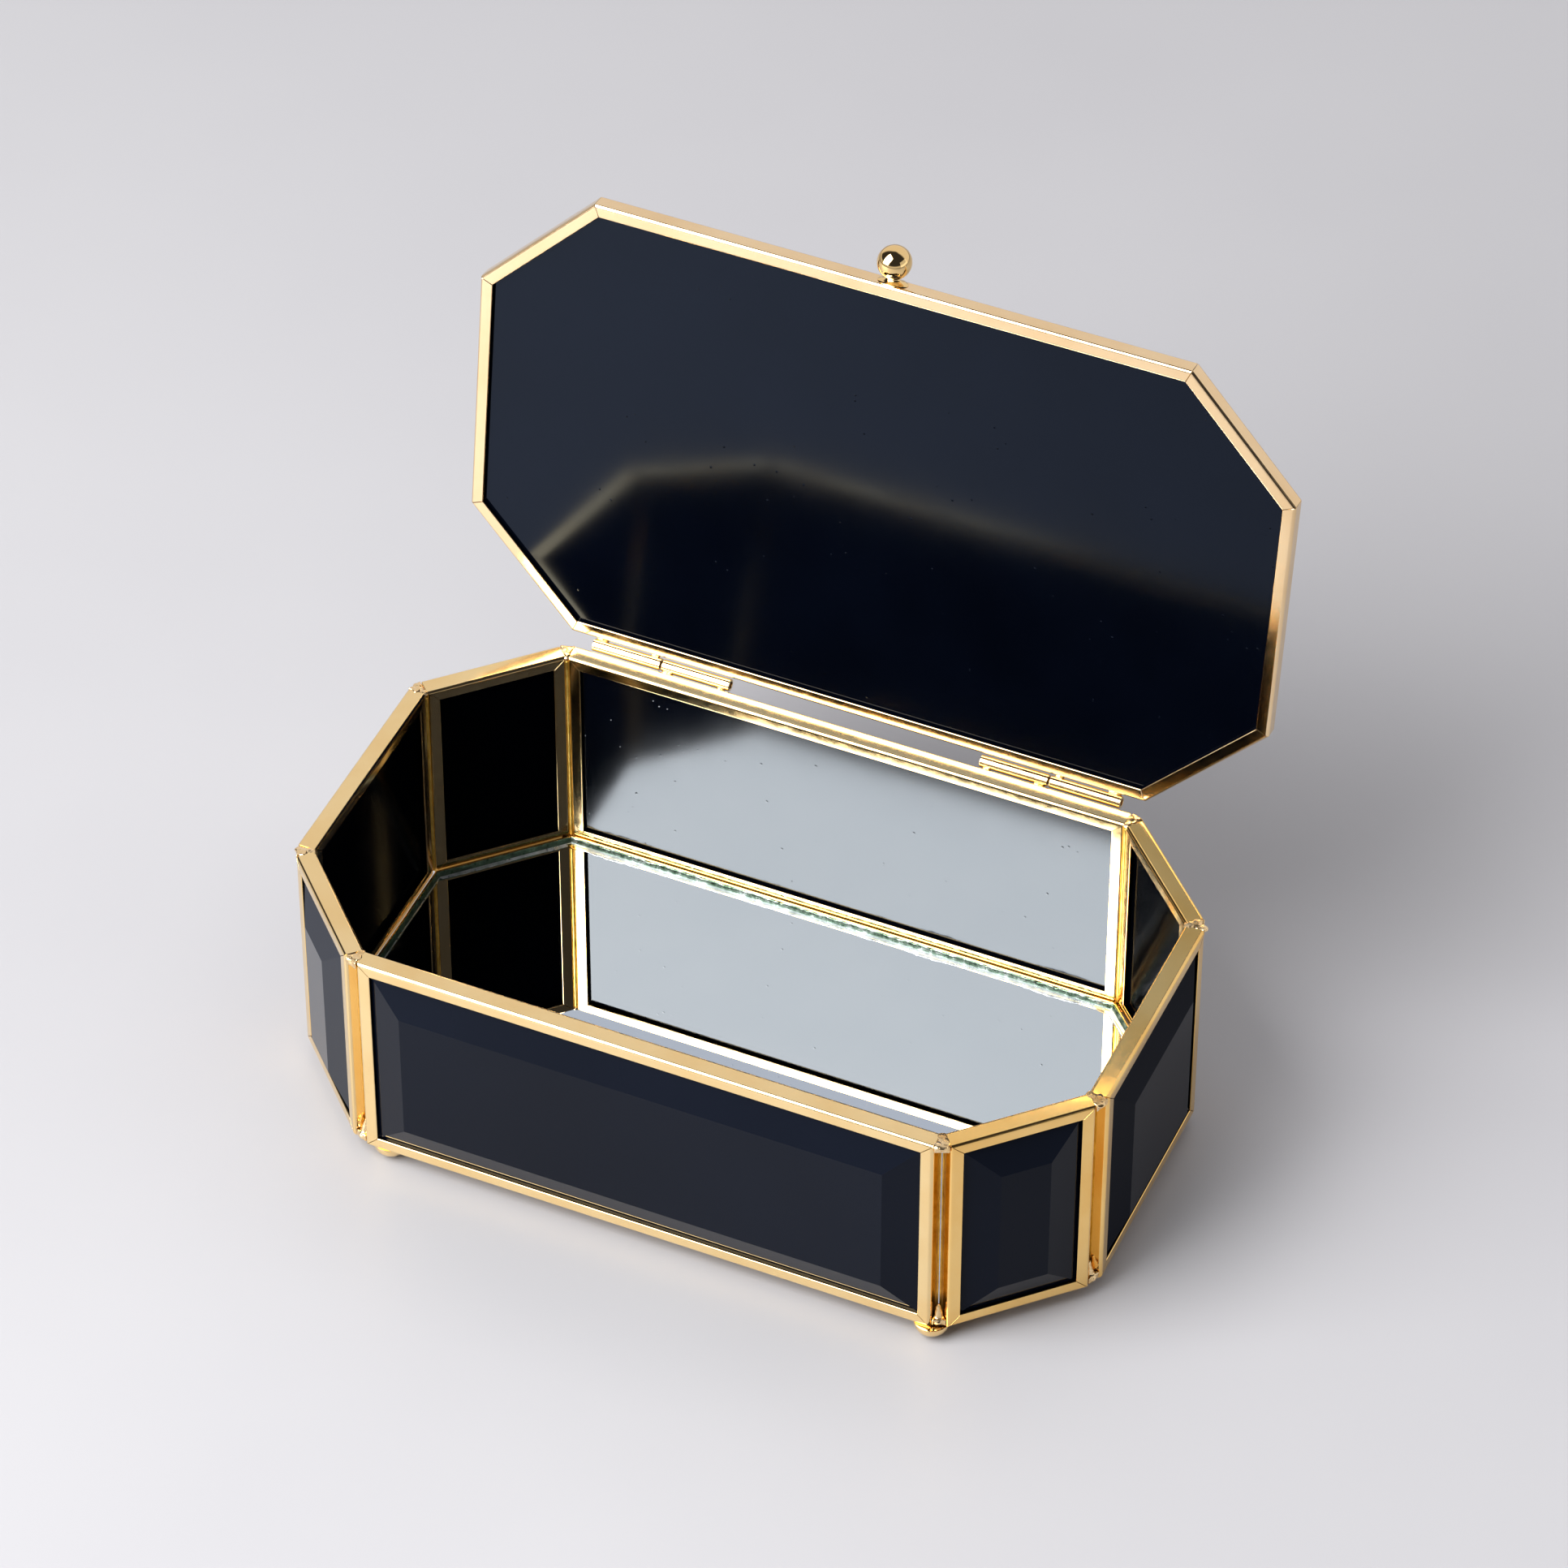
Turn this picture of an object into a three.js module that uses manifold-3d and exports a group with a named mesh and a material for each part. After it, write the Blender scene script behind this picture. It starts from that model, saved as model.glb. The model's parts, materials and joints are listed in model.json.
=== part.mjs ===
// Elongated octagonal glass jewelry box with a hinged glass lid.
// Units are millimetres, +Z up, the front long side faces -Y.
// The box is modelled with its lid open on its stop; the lid closes by turning
// about the hinge axis, which runs along X behind the back rail.
import * as THREE from 'three';
import { mergeVertices } from 'three/addons/utils/BufferGeometryUtils.js';
import { ConvexGeometry } from 'three/addons/geometries/ConvexGeometry.js';
import Module from 'manifold-3d';

// ---------------------------------------------------------------- dimensions
// inner octagon, measured on the inside faces of the walls
const FRONT_LEN = 141.2;      // long front and back sides
const CHAMFER_LEN = 34.8;     // four 45 degree corner sides
const SIDE_LEN = 58.0;        // left and right sides

// wall panels
const WALL_H = 58.3;          // height of a framed wall panel
const CAME_T = 4.8;           // depth of the brass channel round a wall pane
const CAME_FLANGE = 3.15;     // visible width of the channel's flanges
const CAME_SHEET = 0.8;       // thickness of the brass strip
const PANEL_END_GAP = 0.15;   // each panel stops this short of the corner line
const PANE_INSET = 1.1;       // inner glass face behind the channels' inner faces
const PANE_T = 5.8;           // glass thickness inside its bevel; it stands proud of the channels
const PANE_EDGE_T = 1.9;      // glass thickness left at the rim of the bevel
const PANE_PLAY = 0.3;        // clearance between glass edge and channel
const BEVEL_W = 10.4;         // width of the ground bevel, measured from the glass edge

// floor
const FLOOR_TOP = 1.1;        // top of the floor ledge's upright above the walls' lower edge
const FLOOR_CAME_T = 3.5;     // height of the floor ledge
const FLOOR_FLANGE = 3.0;     // width of the ledge under the mirror
const MIRROR_TOP = 1.3;       // mirror face above the walls' lower edge
const MIRROR_T = 2.3;         // mirror glass
const BACKING_T = 0.4;        // backing sheet under the mirror

// lid
const LID_T = 4.4;            // depth of the lid's channel
const LID_FLANGE = 3.15;
const LID_PANE_T = 4.6;        // lid glass thickness inside its bevel
const LID_PANE_INSET = 1.1;    // inner glass face from the middle of the lid channel
const LID_PANE_EDGE_T = 1.8;  // lid glass left at the rim of its bevel
const LID_BEVEL_W = 10.4;     // ground bevel on the lid's outer face, measured from the glass edge
const LID_GAP = 0.5;          // lid's underside above the rim when closed
const LID_OPEN_DEG = 98.5;    // angle between closed and fully open

// hinges
const KNUCKLE_R = 1.5;
const KNUCKLE_BORE_R = 0.9;
const PIN_R = 0.6;
const HINGE_RAIL_GAP = 0.2;   // knuckle to the rail's outer face
const KNUCKLE_GAP = 0.5;      // between the two knuckles of a hinge
const HINGES = [              // along X: lid knuckle start/end, body knuckle start/end
  { side: 'left', lid: [-66.5, -49.1], body: [-48.6, -31.3] },
  { side: 'right', lid: [49.6, 67.2], body: [32.2, 49.1] },
];

// knob
const KNOB_R = 4.0;
const KNOB_CENTRE = 5.3;      // ball centre beyond the lid's front edge
const KNOB_BASE_R = 3.7;
const KNOB_BASE_H = 1.0;

// feet
const FOOT_R = 4.3;
const FOOT_H = 4.4;           // the walls' lower edge above the ground
const FOOT_FLAT_R = 1.5;
const FEET = [                // x from the corner line towards the middle, y from the inner face outwards
  { name: 'foot_front_left', sx: -1, sy: -1, inset: 4.6, out: 0.4 },
  { name: 'foot_front_right', sx: 1, sy: -1, inset: 0.9, out: 1.6 },
  { name: 'foot_back_left', sx: -1, sy: 1, inset: 2.0, out: 0.8 },
  { name: 'foot_back_right', sx: 1, sy: 1, inset: 2.0, out: 0.8 },
];

// solder joints in the V grooves at the wall corners
const SOLDER_GAP = 0.15;      // to the frames, beyond the panels' own end gap
const SOLDER_TOP_H = 2.2;
const SOLDER_TOP_RISE = 0.15;
const SOLDER_BOTTOM_H = 6.0;

const REST_Y = -12.162;        // moves the whole so that its box is centred on Y

// ---------------------------------------------------------------- materials
const brass = () => new THREE.MeshStandardMaterial({ color: 0xe2b96a, roughness: 0.16, metalness: 1 });
const solder = () => new THREE.MeshStandardMaterial({ color: 0xd9b676, roughness: 0.28, metalness: 1 });
const darkGlass = () => new THREE.MeshStandardMaterial({ color: 0x0d1220, roughness: 0.04, metalness: 0 });
const mirrorGlass = () => new THREE.MeshStandardMaterial({ color: 0xcfd6dc, roughness: 0.03, metalness: 1 });
const backing = () => new THREE.MeshStandardMaterial({ color: 0x7d3a3c, roughness: 0.7, metalness: 0 });

// ---------------------------------------------------------------- solids
const wasm = await Module();
wasm.setup();

function solid(geometry) {
  const g = geometry.clone();
  g.deleteAttribute('normal');
  g.deleteAttribute('uv');
  const m = mergeVertices(g, 1e-4);
  return new wasm.Manifold(new wasm.Mesh({
    numProp: 3,
    vertProperties: new Float32Array(m.attributes.position.array),
    triVerts: new Uint32Array(m.index.array),
  }));
}
function geometryOf(manifold) {
  const mesh = manifold.getMesh();
  const g = new THREE.BufferGeometry();
  g.setAttribute('position', new THREE.BufferAttribute(new Float32Array(mesh.vertProperties), 3));
  g.setIndex(new THREE.BufferAttribute(new Uint32Array(mesh.triVerts), 1));
  g.computeVertexNormals();
  return g;
}
// plan outline raised from z0 to z1
function prism(points, z0, z1) {
  const shape = new THREE.Shape(points.map(([x, y]) => new THREE.Vector2(x, y)));
  const g = new THREE.ExtrudeGeometry(shape, { depth: z1 - z0, bevelEnabled: false });
  g.translate(0, 0, z0);
  return g;
}
function block(x0, x1, y0, y1, z0, z1) {
  const g = new THREE.BoxGeometry(x1 - x0, y1 - y0, z1 - z0);
  g.translate((x0 + x1) / 2, (y0 + y1) / 2, (z0 + z1) / 2);
  return g;
}
// octagon corners, counter-clockwise from the front left, grown outwards by `off`
function octagon(off) {
  const k = 2 * Math.tan(Math.PI / 8) * off;
  const a = FRONT_LEN + k, b = CHAMFER_LEN + k, c = SIDE_LEN + k;
  const q = b * Math.SQRT1_2, x = a / 2 + q, y = c / 2 + q;
  return [[-a / 2, -y], [a / 2, -y], [x, -c / 2], [x, c / 2], [a / 2, y], [-a / 2, y], [-x, c / 2], [-x, -c / 2]];
}

const group = new THREE.Group();
const body = new THREE.Group();
body.position.set(0, REST_Y, FOOT_H);
group.add(body);
function put(parent, name, geometry, material) {
  const mesh = new THREE.Mesh(geometry, material);
  mesh.name = name;
  parent.add(mesh);
  return mesh;
}

// ---------------------------------------------------------------- walls
const corners = octagon(0);
const wallNames = ['front', 'front_right', 'right', 'back_right', 'back', 'back_left', 'left', 'front_left'];

function wallFrame(len) {
  const x0 = PANEL_END_GAP, x1 = len - PANEL_END_GAP;
  const s = CAME_SHEET, f = CAME_FLANGE;
  return geometryOf(
    solid(block(x0, x1, -CAME_T, 0, 0, WALL_H))
      .subtract(solid(block(x0 + f, x1 - f, -CAME_T - 1, 1, f, WALL_H - f)))
      .subtract(solid(block(x0 + s, x1 - s, -CAME_T + s, -s, s, WALL_H - s))));
}
// bevelled pane: flat inside, ground bevel all round the outside
function wallPane(len) {
  const m = CAME_SHEET + PANE_PLAY;
  const x0 = PANEL_END_GAP + m, x1 = len - PANEL_END_GAP - m, z0 = m, z1 = WALL_H - m;
  const yi = -PANE_INSET, yo = yi - PANE_T, ye = yi - PANE_EDGE_T;
  const pts = [];
  for (const [y, b] of [[yi, 0], [ye, 0], [yo, BEVEL_W]]) {
    for (const x of [x0 + b, x1 - b]) for (const z of [z0 + b, z1 - b]) pts.push(new THREE.Vector3(x, y, z));
  }
  return new ConvexGeometry(pts);
}
wallNames.forEach((name, i) => {
  const a = corners[i], b = corners[(i + 1) % 8];
  const len = Math.hypot(b[0] - a[0], b[1] - a[1]);
  const panel = new THREE.Group();
  panel.position.set(a[0], a[1], 0);
  panel.rotation.z = Math.atan2(b[1] - a[1], b[0] - a[0]);
  body.add(panel);
  put(panel, `${name}_frame`, wallFrame(len), brass());
  put(panel, `${name}_pane`, wallPane(len), darkGlass());
});

// ---------------------------------------------------------------- corner solder
// wedge that fills the V groove between two neighbouring channels
function grooveWedge(i, z0, z1, reach) {
  const p = corners[i], prev = corners[(i + 7) % 8], next = corners[(i + 1) % 8];
  const dir = (u, v) => { const l = Math.hypot(v[0] - u[0], v[1] - u[1]); return [(v[0] - u[0]) / l, (v[1] - u[1]) / l]; };
  const e1 = dir(prev, p), e2 = dir(p, next);
  const n1 = [e1[1], -e1[0]], n2 = [e2[1], -e2[0]];
  const bis = [n1[0] + n2[0], n1[1] + n2[1]];
  const bl = Math.hypot(bis[0], bis[1]); bis[0] /= bl; bis[1] /= bl;
  const g = SOLDER_GAP;
  const apex = g / Math.sin(Math.PI / 8) + 0.35;
  const at = (n, e, sign, r) => [p[0] + n[0] * r + e[0] * g * sign, p[1] + n[1] * r + e[1] * g * sign];
  const near = 1.0;
  const pts = [
    [p[0] + bis[0] * apex, p[1] + bis[1] * apex],
    at(n1, e1, 1, near), at(n1, e1, 1, reach),
    at(n2, e2, -1, reach), at(n2, e2, -1, near),
  ];
  return prism(pts, z0, z1);
}
const cornerNames = ['front_l', 'front_r', 'right_f', 'right_b', 'back_r', 'back_l', 'left_b', 'left_f'];
cornerNames.forEach((name, i) => {
  put(body, `top_solder_${name}`, geometryOf(solid(grooveWedge(i, WALL_H - SOLDER_TOP_H, WALL_H + SOLDER_TOP_RISE, CAME_T - 0.25))), solder());
  put(body, `bottom_solder_${name}`, geometryOf(solid(grooveWedge(i, 0.3, SOLDER_BOTTOM_H, CAME_T - 0.45))), solder());
});

// ---------------------------------------------------------------- floor
const floorOff = -0.35;
{
  const s = CAME_SHEET, z1 = FLOOR_TOP, z0 = FLOOR_TOP - FLOOR_CAME_T;
  const frame = solid(prism(octagon(floorOff), z0, z1))
    .subtract(solid(prism(octagon(floorOff - FLOOR_FLANGE), z0 - 1, z1 + 1)))
    .subtract(solid(prism(octagon(floorOff - s), z0 + s, z1 + 1)));
  put(body, 'floor_frame', geometryOf(frame), brass());
  const edge = octagon(floorOff - s - PANE_PLAY);
  const top = MIRROR_TOP;
  put(body, 'floor_mirror', geometryOf(solid(prism(edge, top - MIRROR_T, top))), mirrorGlass());
  const low = top - MIRROR_T - 0.1;
  put(body, 'floor_backing', geometryOf(solid(prism(edge, low - BACKING_T, low))), backing());
}

// ---------------------------------------------------------------- feet
{
  const seg = 32, rows = 10;
  const profile = [new THREE.Vector2(0, -FOOT_R)];
  const a0 = Math.asin(FOOT_FLAT_R / FOOT_R);
  for (let i = 0; i <= rows; i++) {
    const a = a0 + (Math.PI / 2 - a0) * (i / rows);
    profile.push(new THREE.Vector2(FOOT_R * Math.sin(a), i === 0 ? -FOOT_R : -FOOT_R * Math.cos(a) * (1)));
  }
  profile.push(new THREE.Vector2(0, 0));
  const dome = new THREE.LatheGeometry(profile, seg);
  dome.rotateX(Math.PI / 2);
  // room for the floor ledge that hangs below the walls
  const room = solid(prism(octagon(floorOff + 0.3), FLOOR_TOP - FLOOR_CAME_T - 0.3, 1));
  const yWall = SIDE_LEN / 2 + CHAMFER_LEN * Math.SQRT1_2;
  for (const f of FEET) {
    const x = f.sx * (FRONT_LEN / 2 - f.inset), y = f.sy * (yWall + f.out);
    const g = dome.clone();
    g.scale(1, 1, (FOOT_H - 0.3) / FOOT_R);
    g.translate(x, y, -0.3);
    put(body, f.name, geometryOf(solid(g).subtract(room)), brass());
  }
}

// ---------------------------------------------------------------- hinges
const backFace = SIDE_LEN / 2 + CHAMFER_LEN * Math.SQRT1_2 + CAME_T;
const axisY = backFace + KNUCKLE_R + HINGE_RAIL_GAP;
const axisZ = WALL_H + LID_GAP / 2;
const lid = new THREE.Group();
lid.position.set(0, axisY, axisZ);
lid.rotation.x = -LID_OPEN_DEG * Math.PI / 180;
body.add(lid);

// outline of a knuckle in the YZ plane about the hinge axis; `tab` is the small
// soldering foot that reaches the rail
function knuckle(x0, x1, tab) {
  const n = 24, pts = [];
  for (let i = 0; i < n; i++) {
    const a = (i + 0.5) * 2 * Math.PI / n;
    pts.push([KNUCKLE_R * Math.cos(a), KNUCKLE_R * Math.sin(a)]);
  }
  let k = solid(prism(pts, x0, x1));
  if (tab) k = k.add(solid(block(tab[0], tab[1], tab[2], tab[3], x0 + 0.4, x1 - 0.4)));
  const bore = [];
  for (let i = 0; i < 16; i++) {
    const a = (i + 0.5) * 2 * Math.PI / 16;
    bore.push([KNUCKLE_BORE_R * Math.cos(a), KNUCKLE_BORE_R * Math.sin(a)]);
  }
  k = k.subtract(solid(prism(bore, x0 - 1, x1 + 1)));
  const g = geometryOf(k);
  // prism axis along X: (y, z, x) -> (x, y, z)
  g.applyMatrix4(new THREE.Matrix4().set(0, 0, 1, 0, 1, 0, 0, 0, 0, 1, 0, 0, 0, 0, 0, 1));
  g.computeVertexNormals();
  return g;
}
const railSide = -(KNUCKLE_R + HINGE_RAIL_GAP) + 0.2;
for (const h of HINGES) {
  const bodyKnuckle = put(body, `hinge_body_knuckle_${h.side}`, knuckle(h.body[0], h.body[1], [railSide, -0.75, -2.2, -0.55]), brass());
  bodyKnuckle.position.set(0, axisY, axisZ);
  put(lid, `hinge_lid_knuckle_${h.side}`, knuckle(h.lid[0], h.lid[1], [railSide, -0.75, 0.55, 2.6]), brass());
  const lo = Math.min(h.lid[0], h.body[0]) + 0.6, hi = Math.max(h.lid[1], h.body[1]) - 0.6;
  const pin = new THREE.CylinderGeometry(PIN_R, PIN_R, hi - lo, 16);
  pin.rotateZ(Math.PI / 2);
  const pinMesh = put(body, `hinge_pin_${h.side}`, pin, brass());
  pinMesh.position.set((lo + hi) / 2, axisY, axisZ);
}

// ---------------------------------------------------------------- lid
{
  // written in the closed position, relative to the hinge axis
  const z0 = LID_GAP / 2, z1 = z0 + LID_T, s = CAME_SHEET;
  const shift = (g) => { g.translate(0, -axisY, 0); return g; };
  const frame = solid(shift(prism(octagon(CAME_T), z0, z1)))
    .subtract(solid(shift(prism(octagon(CAME_T - LID_FLANGE), z0 - 1, z1 + 1))))
    .subtract(solid(shift(prism(octagon(CAME_T - s), z0 + s, z1 - s))));
  put(lid, 'lid_frame', geometryOf(frame), brass());
  const mid = (z0 + z1) / 2;
  // flat inside, ground bevel all round the outside
  const low = mid - LID_PANE_INSET, edge = CAME_T - s - PANE_PLAY, pts = [];
  for (const [z, off] of [[low, edge], [low + LID_PANE_EDGE_T, edge], [low + LID_PANE_T, edge - LID_BEVEL_W]]) {
    for (const [x, y] of octagon(off)) pts.push(new THREE.Vector3(x, y - axisY, z));
  }
  put(lid, 'lid_pane', geometryOf(solid(new ConvexGeometry(pts))), darkGlass());

  // knob on the middle of the front edge
  const edgeY = -backFace - axisY;
  const profile = [new THREE.Vector2(0, 0), new THREE.Vector2(KNOB_BASE_R, 0)];
  for (let i = 1; i <= 5; i++) {
    const t = i / 5;
    profile.push(new THREE.Vector2(1.7 + (KNOB_BASE_R - 1.7) * (1 - t) * (1 - t), KNOB_BASE_H * t));
  }
  profile.push(new THREE.Vector2(0, KNOB_BASE_H));
  const flare = new THREE.LatheGeometry(profile, 32);
  flare.rotateX(Math.PI);              // axis towards -Y after the next turn
  const base = solid(flare).intersect(solid(block(-10, 10, -5, 5, -LID_T / 2 + 0.1, LID_T / 2 - 0.1)));
  const baseMesh = put(lid, 'knob_base', geometryOf(base), brass());
  baseMesh.position.set(0, edgeY - 0.2, mid);
  const ball = new THREE.SphereGeometry(KNOB_R, 32, 20);
  const ballMesh = put(lid, 'knob_ball', geometryOf(solid(ball)), brass());
  ballMesh.position.set(0, edgeY - KNOB_CENTRE, mid);
}

export default group;
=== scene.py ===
import json
import math

import bmesh
import bpy
from mathutils import Matrix, Vector, noise


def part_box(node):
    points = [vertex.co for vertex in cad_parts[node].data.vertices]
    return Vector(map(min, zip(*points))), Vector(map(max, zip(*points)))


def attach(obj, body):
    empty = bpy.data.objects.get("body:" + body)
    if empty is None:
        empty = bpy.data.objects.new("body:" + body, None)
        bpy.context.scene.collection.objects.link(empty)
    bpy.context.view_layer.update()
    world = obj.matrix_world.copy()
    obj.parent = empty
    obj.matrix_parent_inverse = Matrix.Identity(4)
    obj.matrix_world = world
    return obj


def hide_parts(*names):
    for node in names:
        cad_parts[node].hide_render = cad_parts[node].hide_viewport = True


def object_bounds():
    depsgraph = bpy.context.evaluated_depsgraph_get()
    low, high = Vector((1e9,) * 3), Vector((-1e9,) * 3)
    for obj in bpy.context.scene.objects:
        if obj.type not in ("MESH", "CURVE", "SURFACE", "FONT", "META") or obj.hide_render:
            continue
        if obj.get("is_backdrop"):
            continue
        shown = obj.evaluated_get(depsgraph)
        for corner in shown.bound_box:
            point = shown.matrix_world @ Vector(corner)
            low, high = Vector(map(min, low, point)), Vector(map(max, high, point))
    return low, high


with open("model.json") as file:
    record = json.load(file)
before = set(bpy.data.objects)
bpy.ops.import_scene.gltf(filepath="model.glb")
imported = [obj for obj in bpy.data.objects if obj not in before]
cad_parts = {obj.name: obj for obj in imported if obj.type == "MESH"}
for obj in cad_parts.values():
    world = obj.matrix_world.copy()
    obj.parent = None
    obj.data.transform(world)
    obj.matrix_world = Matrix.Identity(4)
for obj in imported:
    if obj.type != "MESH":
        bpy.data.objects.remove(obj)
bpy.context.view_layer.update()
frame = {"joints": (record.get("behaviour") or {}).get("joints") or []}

# ------------------------------------------------------------------ the frame
# Everything below is written in millimetres, in the box's own frame (middle of the
# octagon, z = 0 at the walls' lower edge), and turned into the row frame by BODY.
MM = 0.001
_fl, _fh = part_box("front_frame")
_bl, _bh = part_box("back_frame")
_rl, _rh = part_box("right_frame")
_ll, _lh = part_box("left_frame")
OY = (_fl.y + _bh.y) / 2
Z0 = _fl.z
WALL_H = (_fh.z - _fl.z) / MM
T = (_fh.y - _fl.y) / MM                       # depth of the wall channels
GAP = 0.15                                     # a panel stops this short of its corner
FRONT = (_fh.x - _fl.x) / MM + 2 * GAP
SIDE = (_rh.y - _rl.y) / MM + 2 * GAP
HALF_Y = (_bl.y - _fh.y) / 2 / MM
HALF_X = (_rl.x - _lh.x) / 2 / MM
FLANGE = 3.15
joint = frame["joints"][0]
OPEN = joint["range_deg"][1]
AXIS = Vector(joint["pos_m"])
AX_Y = (AXIS.y - OY) / MM
AX_Z = (AXIS.z - Z0) / MM

BODY = Matrix.Translation((0, OY, Z0)) @ Matrix.Diagonal((MM, MM, MM, 1))
LID = BODY @ Matrix.Translation((0, AX_Y, AX_Z)) @ Matrix.Rotation(math.radians(-OPEN), 4, "X")
TAN8 = math.tan(math.pi / 8)


def octagon(off):
    """Corners counter-clockwise from the front left, grown outwards by off from the walls' inner faces."""
    k = 2 * TAN8 * off
    a, c = (FRONT + k) / 2, (SIDE + k) / 2
    x, y = HALF_X + off, HALF_Y + off
    return [(-a, -y), (a, -y), (x, -c), (x, c), (a, y), (-a, y), (-x, c), (-x, -c)]


# ------------------------------------------------------------------ materials
def nodes_of(name):
    m = bpy.data.materials.new(name)
    m.use_nodes = True
    nt = m.node_tree
    nt.nodes.clear()
    out = nt.nodes.new("ShaderNodeOutputMaterial")
    p = nt.nodes.new("ShaderNodeBsdfPrincipled")
    nt.links.new(p.outputs[0], out.inputs[0])
    return m, nt, p


def noise_node(nt, scale, detail=3.0, rough=0.55, stretch=None, distortion=0.0):
    tc = nt.nodes.new("ShaderNodeTexCoord")
    mp = nt.nodes.new("ShaderNodeMapping")
    n = nt.nodes.new("ShaderNodeTexNoise")
    nt.links.new(tc.outputs["Object"], mp.inputs[0])
    nt.links.new(mp.outputs[0], n.inputs["Vector"])
    if stretch:
        mp.inputs["Scale"].default_value = stretch
    n.inputs["Scale"].default_value = scale
    n.inputs["Detail"].default_value = detail
    n.inputs["Roughness"].default_value = rough
    n.inputs["Distortion"].default_value = distortion
    return n.outputs["Fac"]


def ramp(nt, fac, stops):
    r = nt.nodes.new("ShaderNodeValToRGB")
    nt.links.new(fac, r.inputs[0])
    e = r.color_ramp.elements
    while len(e) > 1:
        e.remove(e[-1])
    e[0].position, e[0].color = stops[0][0], (*stops[0][1], 1)
    for pos, col in stops[1:]:
        x = e.new(pos)
        x.color = (*col, 1)
    return r.outputs[0]


def maprange(nt, fac, a, b, lo, hi):
    r = nt.nodes.new("ShaderNodeMapRange")
    nt.links.new(fac, r.inputs[0])
    for i, v in zip((1, 2, 3, 4), (a, b, lo, hi)):
        r.inputs[i].default_value = v
    return r.outputs[0]


def bump(nt, height, strength, distance, normal=None):
    b = nt.nodes.new("ShaderNodeBump")
    nt.links.new(height, b.inputs["Height"])
    b.inputs["Strength"].default_value = strength
    b.inputs["Distance"].default_value = distance
    if normal is not None:
        nt.links.new(normal, b.inputs["Normal"])
    return b.outputs[0]


def brass(name, tone_a, tone_b, rough_lo, rough_hi, wave, grain):
    """Polished, lacquered brass: faint tone drift, roller waviness, fine polishing grain."""
    m, nt, p = nodes_of(name)
    p.inputs["Metallic"].default_value = 1.0
    drift = noise_node(nt, 60, 4)
    nt.links.new(ramp(nt, drift, [(0.30, tone_b), (0.62, tone_a)]), p.inputs["Base Color"])
    worn = noise_node(nt, 420, 5, 0.65)
    nt.links.new(maprange(nt, worn, 0.35, 0.75, rough_lo, rough_hi), p.inputs["Roughness"])
    w = bump(nt, noise_node(nt, 55, 2, 0.4), 1.0, wave)
    g = bump(nt, noise_node(nt, 1500, 4, 0.6), 1.0, grain, w)
    nt.links.new(g, p.inputs["Normal"])
    return m


GOLD_A, GOLD_B = (0.95, 0.71, 0.36), (0.91, 0.64, 0.29)
M_BRASS = brass("brass_polished", GOLD_A, GOLD_B, 0.085, 0.15, 0.00002, 0.0000006)
M_BRASS_LID = brass("brass_polished_lid", (0.92, 0.69, 0.41), (0.87, 0.62, 0.34), 0.085, 0.15, 0.00002, 0.0000006)
# more saturated copy of the brass for the right-hand walls only: painted reflection of warmer surroundings on their
# webs
M_BRASS_RIGHT_PAINTED_REFLECTION = brass("brass_polished_warm", (0.98, 0.66, 0.25), (0.92, 0.56, 0.17), 0.085, 0.15, 0.00003, 0.0000006)
M_BRASS_HINGE = brass("brass_drawn_tube", (0.95, 0.71, 0.38), (0.90, 0.62, 0.29), 0.09, 0.19, 0.00004, 0.000003)
M_KNOB = brass("brass_turned", (0.93, 0.66, 0.30), (0.90, 0.61, 0.26), 0.035, 0.07, 0.00001, 0.0000005)


def solder_material():
    m, nt, p = nodes_of("solder_plated")
    p.inputs["Metallic"].default_value = 1.0
    blot = noise_node(nt, 260, 5, 0.6)
    nt.links.new(ramp(nt, blot, [(0.30, (0.52, 0.30, 0.11)), (0.46, (0.86, 0.60, 0.29)), (0.70, (0.95, 0.74, 0.46))]), p.inputs["Base Color"])
    nt.links.new(maprange(nt, noise_node(nt, 700, 4), 0.35, 0.7, 0.14, 0.34), p.inputs["Roughness"])
    b = bump(nt, noise_node(nt, 900, 5, 0.65), 1.0, 0.00004)
    b2 = bump(nt, noise_node(nt, 3200, 3, 0.6), 1.0, 0.00001, b)
    nt.links.new(b2, p.inputs["Normal"])
    return m


M_SOLDER = solder_material()


def cut_end_material():
    m, nt, p = nodes_of("brass_cut_edge")
    p.inputs["Metallic"].default_value = 1.0
    nt.links.new(ramp(nt, noise_node(nt, 500, 4), [(0.3, (0.20, 0.11, 0.045)), (0.7, (0.42, 0.26, 0.11))]), p.inputs["Base Color"])
    p.inputs["Roughness"].default_value = 0.45
    nt.links.new(bump(nt, noise_node(nt, 2500, 3), 1.0, 0.00001), p.inputs["Normal"])
    return m


M_CUT = cut_end_material()


# darker, more orange, rougher brass for the deep grooves and corner seams: painted shade in the recess between two
# walls
def groove_painted_shade_material():
    m, nt, p = nodes_of("brass_groove_painted_shade")
    p.inputs["Metallic"].default_value = 1.0
    nt.links.new(ramp(nt, noise_node(nt, 300, 4), [(0.3, (0.66, 0.40, 0.06)), (0.7, (0.97, 0.69, 0.19))]), p.inputs["Base Color"])
    nt.links.new(maprange(nt, noise_node(nt, 900, 3), 0.3, 0.7, 0.3, 0.5), p.inputs["Roughness"])
    return m


M_GROOVE_PAINTED_SHADE = groove_painted_shade_material()


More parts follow.
